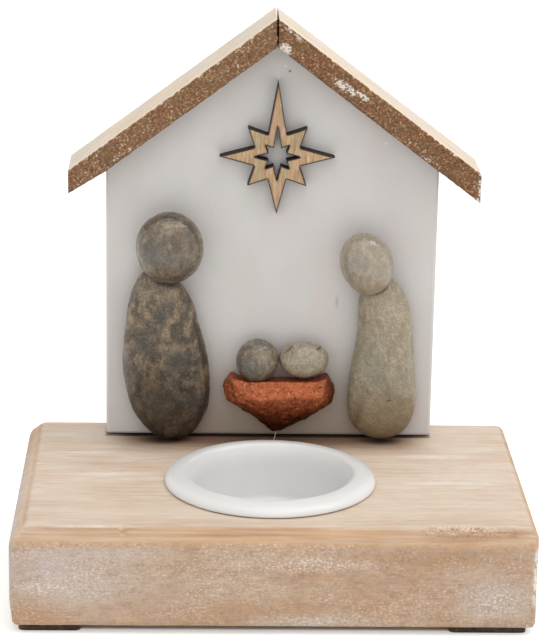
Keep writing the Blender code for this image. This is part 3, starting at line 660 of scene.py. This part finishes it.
# Each pebble: its own hollows and ridges, a ripple and fine pits, all in mm. The lean moves its
# bulk to one side, and each dent is a centre, a reach and a depth.
pebbleShapes = {
    "left_figure_body": {
        "look": "dark", "voxel": 0.36, "swell": 0.55, "size": 9.0, "pits": 0.10,
        "lean": (0.2, 0, 0), "grow": 0.1, "dents": []},
    "left_figure_head": {
        "look": "darkHead", "voxel": 0.30, "swell": 0.25, "size": 7.0, "pits": 0.09,
        "lean": (0, 0, 0), "grow": 0.1, "dents": []},
    "right_figure_body": {
        "look": "pale", "voxel": 0.36, "swell": 0.45, "size": 11.0, "pits": 0.06,
        "lean": (0, 0, 0), "grow": 0.1, "dents": [((41, 22, 52), 10, 1.5),
                                                  ((23.5, 22, 60), 8, 0.7)]},
    "right_figure_head": {
        "look": "paleHead", "voxel": 0.28, "swell": 0.25, "size": 7.0, "pits": 0.05,
        "lean": (0, 0, 0), "grow": 0.1, "dents": []},
    "infant_head": {
        "look": "infantHead", "voxel": 0.25, "swell": 0.20, "size": 5.0, "pits": 0.06,
        "lean": (0.75, 0, 0.15), "grow": 0.1, "dents": []},
    "infant_body": {
        "look": "infantBody", "voxel": 0.25, "swell": 0.25, "size": 5.0, "pits": 0.05,
        "lean": (0.7, 0, 0.1), "grow": -0.15, "dents": [((3.5, 20, 55.5), 4, 0.8)]},
}


# How wide the ripples and pits of all the pebbles are, and how much deeper a pit is than a ripple
pebbleGrain = {"ripple": 2.6, "pit": 0.9, "pitDepth": 1.6}


def makePebble(node):
    shape = pebbleShapes[node]
    grain = pebbleGrain
    seed = Vector((list(pebbleShapes).index(node) * 7.3, 2.1, 5.7))
    lean = Vector(shape["lean"])

    def depthAt(point, normal):
        swell = noise.noise(point / shape["size"] + seed) * shape["swell"]
        ripple = noise.noise(point / grain["ripple"] + seed) * shape["pits"]
        pits = max(0.0, noise.noise(point / grain["pit"] + seed) - 0.15)
        pits *= shape["pits"] * grain["pitDepth"]
        glued = max(0.0, normal.y)  # the side that is glued to the panel stays as it is
        depth = swell + ripple - pits + shape["grow"] + normal.dot(lean)
        for centre, reach, deep in shape["dents"]:
            away = (point - Vector(centre)).length / reach
            depth -= deep * max(0.0, 1.0 - away * away)
        return depth * (1.0 - glued)

    piece = fineCopy(node, node + "_pebble", shape["voxel"])
    reshape(piece, 3, depthAt)
    dress(piece, varnishedPebble(shape["look"]))
    standFor(piece, node)
    return piece


# The rough stone under the copper paint, in mm. Its rings run from the back over the shoulder to
# the front facet. Each point is a share of the reach to its side, a share of the height, and a
# place along Y.
mangerShape = {
    "tip": (1.4, 31.1), "left": 14.2, "right": 16.9, "height": 15.0, "rounding": 0.45,
    "voxel": 0.26,
    "rings": [
        [(-1.0, 0.88, 29.2), (-0.94, 0.62, 29.2), (-0.43, 0.33, 29.2), (-0.04, 0.0, 29.2),
         (0.10, 0.01, 29.2), (0.52, 0.26, 29.2), (0.95, 0.58, 29.2), (1.0, 0.82, 29.2),
         (0.86, 1.09, 29.2), (0.67, 0.99, 29.2), (-0.55, 0.99, 29.2), (-0.85, 1.09, 29.2)],
        [(-1.0, 0.88, 24.6), (-0.94, 0.62, 24.6), (-0.43, 0.33, 24.8), (-0.04, 0.0, 25.4),
         (0.10, 0.01, 25.4), (0.52, 0.26, 24.8), (0.95, 0.58, 24.6), (1.0, 0.82, 24.2),
         (0.86, 1.10, 22.4), (0.67, 1.06, 20.9), (-0.55, 1.05, 20.9), (-0.85, 1.10, 22.4)],
        [(-0.72, 0.80, 20.4), (-0.66, 0.68, 20.5), (-0.36, 0.50, 21.0), (-0.03, 0.34, 22.0),
         (0.08, 0.34, 22.0), (0.42, 0.46, 21.2), (0.74, 0.62, 20.4), (0.80, 0.72, 20.0),
         (0.74, 0.80, 19.5), (0.50, 0.80, 18.9), (-0.30, 0.76, 18.9), (-0.62, 0.84, 19.9)]],
    "lump": 0.20, "lumpSize": 3.4, "chip": 0.18, "chipSize": 1.2, "pit": 0.30, "pitSize": 0.8,
}


def mangerDepth(point, normal):
    shape = mangerShape
    lumps = noise.fractal(point / shape["lumpSize"], 0.9, 2.0, 2) * shape["lump"]
    chips = noise.fractal(point / shape["chipSize"], 0.8, 2.0, 2) * shape["chip"]
    pits = max(0.0, noise.noise(point / shape["pitSize"]) - 0.10) * shape["pit"]
    return (lumps + chips - pits) * (1.0 - max(0.0, normal.y))


def makeManger():
    shape = mangerShape
    tipX, tipZ = shape["tip"]

    def places(ring):
        return [Vector((tipX + across * (shape["left"] if across < 0 else shape["right"]), y,
                        tipZ + up * shape["height"])) * mm for across, up, y in ring]

    bm = bmesh.new()
    face = bm.faces.new([bm.verts.new(place) for place in places(shape["rings"][0])])
    for ring in shape["rings"][1:]:
        grown = bmesh.ops.extrude_face_region(bm, geom=[face])["geom"]
        face = [item for item in grown if isinstance(item, bmesh.types.BMFace)][0]
        for loop, place in zip(face.loops, places(ring)):
            loop.vert.co = place
    bmesh.ops.recalc_face_normals(bm, faces=bm.faces)
    bmesh.ops.bevel(bm, geom=bm.edges, offset=shape["rounding"] * mm, affect="EDGES", segments=2,
                    profile=0.5, material=-1, clamp_overlap=True)
    mesh = bpy.data.meshes.new("copper_painted_stone")
    bm.to_mesh(mesh)
    bm.free()
    stone = bpy.data.objects.new("copper_painted_stone", mesh)
    bpy.context.scene.collection.objects.link(stone)
    evenFaces(stone, shape["voxel"])
    reshape(stone, 1, mangerDepth)
    dress(stone, copperPaint())
    standFor(stone, "manger_stone")
    return stone


# The cup's section, in mm from its axis and from the top of the block
cupShape = {"middle": (-0.3, -7.5), "blockTop": 28.4, "inner": 20.3, "depth": 13.0, "wall": 1.0,
            "draft": 0.5, "fillet": 2.2, "rim": 28.1, "crest": 22.8, "rise": 2.85, "lip": 0.3,
            "rollDepth": 6.6, "rimSteps": 12, "filletSteps": 8, "steps": 160}


def makeCup():
    shape = cupShape
    points = []
    for step in range(shape["rimSteps"] + 1):  # outer slope of the rim, up to the crest
        turn = math.radians(90 * step / shape["rimSteps"])
        points.append((shape["crest"] + (shape["rim"] - shape["crest"]) * math.cos(turn),
                       shape["lip"] + shape["rise"] * math.sin(turn)))
    roll = shape["crest"] - shape["inner"]
    for step in range(1, shape["rimSteps"] + 1):  # the soft roll over into the mouth
        turn = math.radians(90 + 90 * step / shape["rimSteps"])
        points.append((shape["crest"] + roll * math.cos(turn),
                       shape["lip"] + shape["rise"] - shape["rollDepth"] * (1.0 - math.sin(turn))))
    corner = shape["inner"] - shape["draft"] - shape["fillet"]
    for step in range(shape["filletSteps"] + 1):  # the fillet at the floor
        turn = math.radians(-90 * step / shape["filletSteps"])
        points.append((corner + shape["fillet"] * math.cos(turn),
                       shape["fillet"] - shape["depth"] + shape["fillet"] * math.sin(turn)))
    points.append((0.0, -shape["depth"]))
    bm = bmesh.new()
    verts = [bm.verts.new((radius * mm, 0.0, height * mm)) for radius, height in points]
    edges = [bm.edges.new(pair) for pair in zip(verts, verts[1:])]
    bmesh.ops.spin(bm, geom=verts + edges, cent=(0, 0, 0), axis=(0, 0, 1), dvec=(0, 0, 0),
                   angle=2 * math.pi, steps=shape["steps"], use_merge=True)
    bmesh.ops.remove_doubles(bm, verts=bm.verts, dist=0.002 * mm)
    bmesh.ops.recalc_face_normals(bm, faces=bm.faces)
    floor = min(bm.faces, key=lambda face: face.calc_center_median().z)
    if floor.normal.z < 0:
        bmesh.ops.reverse_faces(bm, faces=bm.faces)
    place = (shape["middle"][0] * mm, shape["middle"][1] * mm, shape["blockTop"] * mm)
    bmesh.ops.translate(bm, vec=place, verts=bm.verts)
    mesh = bpy.data.meshes.new("enamel_cup")
    bm.to_mesh(mesh)
    bm.free()
    mesh.shade_smooth()
    cup = bpy.data.objects.new("enamel_cup", mesh)
    bpy.context.scene.collection.objects.link(cup)
    wall = cup.modifiers.new("steel wall", "SOLIDIFY")
    wall.thickness = shape["wall"] * mm
    wall.offset = -1.0
    wall.use_even_offset = True
    dress(cup, whiteEnamel())
    standFor(cup, "tealight_cup")


# A thread of glue pulled from the manger's tip down to the cup's rim, in mm
glueThread = {"path": [(2.0, 22.6, 32.0), (1.5, 20.4, 30.8), (0.9, 18.4, 29.6), (0.5, 17.2, 28.9)],
              "radius": 0.12}


def makeGlueThread():
    curve = bpy.data.curves.new("glue_thread", "CURVE")
    curve.dimensions = "3D"
    curve.bevel_depth = glueThread["radius"] * mm
    curve.bevel_resolution = 3
    curve.use_fill_caps = True
    spline = curve.splines.new("NURBS")
    spline.points.add(len(glueThread["path"]) - 1)
    spline.use_endpoint_u = True
    for point, place in zip(spline.points, glueThread["path"]):
        point.co = [c * mm for c in place] + [1.0]
    flat = bpy.data.objects.new("glue_thread_path", curve)
    bpy.context.scene.collection.objects.link(flat)
    evaluated = flat.evaluated_get(bpy.context.evaluated_depsgraph_get())
    thread = bpy.data.objects.new("glue_thread", bpy.data.meshes.new_from_object(evaluated))
    bpy.context.scene.collection.objects.link(thread)
    bpy.data.objects.remove(flat)
    thread.data.shade_smooth()
    dress(thread, clearGlue())
    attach(thread, "root")


def buildPieces():
    block = fineCopy("base_block", "whitewashed_block", blockWear["voxel"])
    reshape(block, 2, blockDepth)
    dress(block, whitewashedPine())
    standFor(block, "base_block")
    print("block", len(block.data.polygons))
    for side, word in ((-1, "left"), (1, "right")):
        board = fineCopy("roof_board_" + word, "worn_roof_board_" + word, roofWear["voxel"], True)
        reshape(board, 0, roofDepth)
        dress(board, stainedPine("stained pine board " + word, side))
        standFor(board, "roof_board_" + word)
        print(board.name, len(board.data.polygons))
    for node in pebbleShapes:
        piece = makePebble(node)
        print(piece.name, len(piece.data.polygons))
    print("manger", len(makeManger().data.polygons))
    makeCup()
    makeGlueThread()
    print("cup and glue thread")
    dress(nodes["house_panel"], satinWhitePaint())
    dress(nodes["star"], laserCutPly())
    felt = pressedFelt()
    zinc = zincPlate()
    for name, node in nodes.items():
        if name.startswith("felt_pad"):
            dress(node, felt)
        if name.startswith("panel_screw"):
            dress(node, zinc)
    print("finishes on the CAD pieces")


# Soft boxes over and before the table, and a plain pale floor. Places and sizes in metres, power
# in watts. The floor glows a little to the camera, except under the block, from and to these mm.
studio = {
    "floor": "f6f5f3", "floorRoughness": 0.9, "floorSize": 8.0, "floorLift": 0.34, "sky": 0.70,
    "underBlock": {"X": (62.0, 64.0), "Y": (39.8, 41.4)}, "aim": (0, 0, 0.06),
    "lamps": [
        {"name": "overhead soft box", "place": (0.10, -0.25, 1.10), "size": 0.9, "power": 3.8},
        {"name": "front soft box", "place": (-0.25, -1.10, 0.75), "size": 0.9, "power": 1.8},
        {"name": "small side lamp", "place": (0.52, -0.02, 0.74), "size": 0.34, "power": 1.5},
    ],
}


def whiteToEye(tree):
    # 1 for the rays by which the backdrop is seen, directly, in gloss or through glass
    path = tree.nodes.new("ShaderNodeLightPath").outputs
    seen = add(tree, "Math", {0: path["Is Camera Ray"], 1: path["Is Glossy Ray"]},
               operation="MAXIMUM")
    return add(tree, "Math", {0: seen, 1: path["Is Transmission Ray"]}, operation="MAXIMUM")


def lightStudio():
    bm = bmesh.new()
    bmesh.ops.create_grid(bm, x_segments=1, y_segments=1, size=studio["floorSize"] / 2)
    mesh = bpy.data.meshes.new("floor")
    bm.to_mesh(mesh)
    bm.free()
    floor = bpy.data.objects.new("floor", mesh)
    bpy.context.scene.collection.objects.link(floor)
    material, tree, shader, place = newMaterial("matt white paper sweep")
    shader.inputs["Base Color"].default_value = linear(studio["floor"])
    shader.inputs["Roughness"].default_value = studio["floorRoughness"]
    shader.inputs["Emission Color"].default_value = (1.0, 1.0, 1.0, 1.0)
    # No glow under the block, so that the dark strip below its front edge stays
    under = studio["underBlock"]
    clear = add(tree, "Math", {0: band(tree, place, "X", *under["X"], sides=True),
                               1: band(tree, place, "Y", *under["Y"], sides=True)},
                operation="MAXIMUM")
    lift = add(tree, "Math", {0: whiteToEye(tree), 1: studio["floorLift"]}, operation="MULTIPLY")
    lift = add(tree, "Math", {0: lift, 1: clear}, operation="MULTIPLY")
    tree.links.new(lift, shader.inputs["Emission Strength"])
    dress(floor, material)
    for lamp in studio["lamps"]:
        light = bpy.data.lights.new(lamp["name"], "AREA")
        light.size = lamp["size"]
        light.energy = lamp["power"]
        holder = bpy.data.objects.new(lamp["name"], light)
        bpy.context.scene.collection.objects.link(holder)
        holder.location = lamp["place"]
        aim = Vector(studio["aim"]) - holder.location
        holder.rotation_euler = aim.to_track_quat("-Z", "Y").to_euler()
    world = bpy.data.worlds.new("studio")
    bpy.context.scene.world = world
    world.use_nodes = True
    tree = world.node_tree
    background = tree.nodes["Background"]
    strength = add(tree, "MapRange", {"Value": whiteToEye(tree), "To Min": studio["sky"],
                                      "To Max": 1.0})
    background.inputs["Color"].default_value = (1.0, 1.0, 1.0, 1.0)
    tree.links.new(strength, background.inputs["Strength"])
    print("studio")


# Where the photograph was taken from: place in mm, angles in degrees, the rest in its pixels
view = {"place": (-20.6, -657.3, 267.5), "pitch": 16.743, "yaw": 1.734, "roll": 1.014,
        "focal": 2595.2, "centre": (270.58, 324.88), "image": (542, 640), "sensor": 36.0}


def placeCamera():
    data = bpy.data.cameras.new("camera")
    camera = bpy.data.objects.new("camera", data)
    bpy.context.scene.collection.objects.link(camera)
    pitch, yaw, roll = [math.radians(view[name]) for name in ("pitch", "yaw", "roll")]
    forward = Vector((math.sin(yaw) * math.cos(pitch), math.cos(yaw) * math.cos(pitch),
                      -math.sin(pitch)))
    right = Vector((math.cos(yaw), -math.sin(yaw), 0.0))
    up = right.cross(forward)
    rightTurned = right * math.cos(roll) + up * math.sin(roll)
    upTurned = up * math.cos(roll) - right * math.sin(roll)
    turn = Matrix((rightTurned, upTurned, -forward)).transposed().to_4x4()
    camera.matrix_world = Matrix.Translation(Vector(view["place"]) * mm) @ turn
    width, height = view["image"]
    data.sensor_width = view["sensor"]
    data.lens = view["focal"] * view["sensor"] / height
    data.shift_x = (width / 2 - view["centre"][0]) / height
    data.shift_y = (view["centre"][1] - height / 2) / height
    data.clip_start = 0.05
    data.clip_end = 50.0
    bpy.context.scene.camera = camera
    print("camera")


placeCamera()
lightStudio()
buildPieces()
bpy.context.scene.view_settings.view_transform = "Standard"
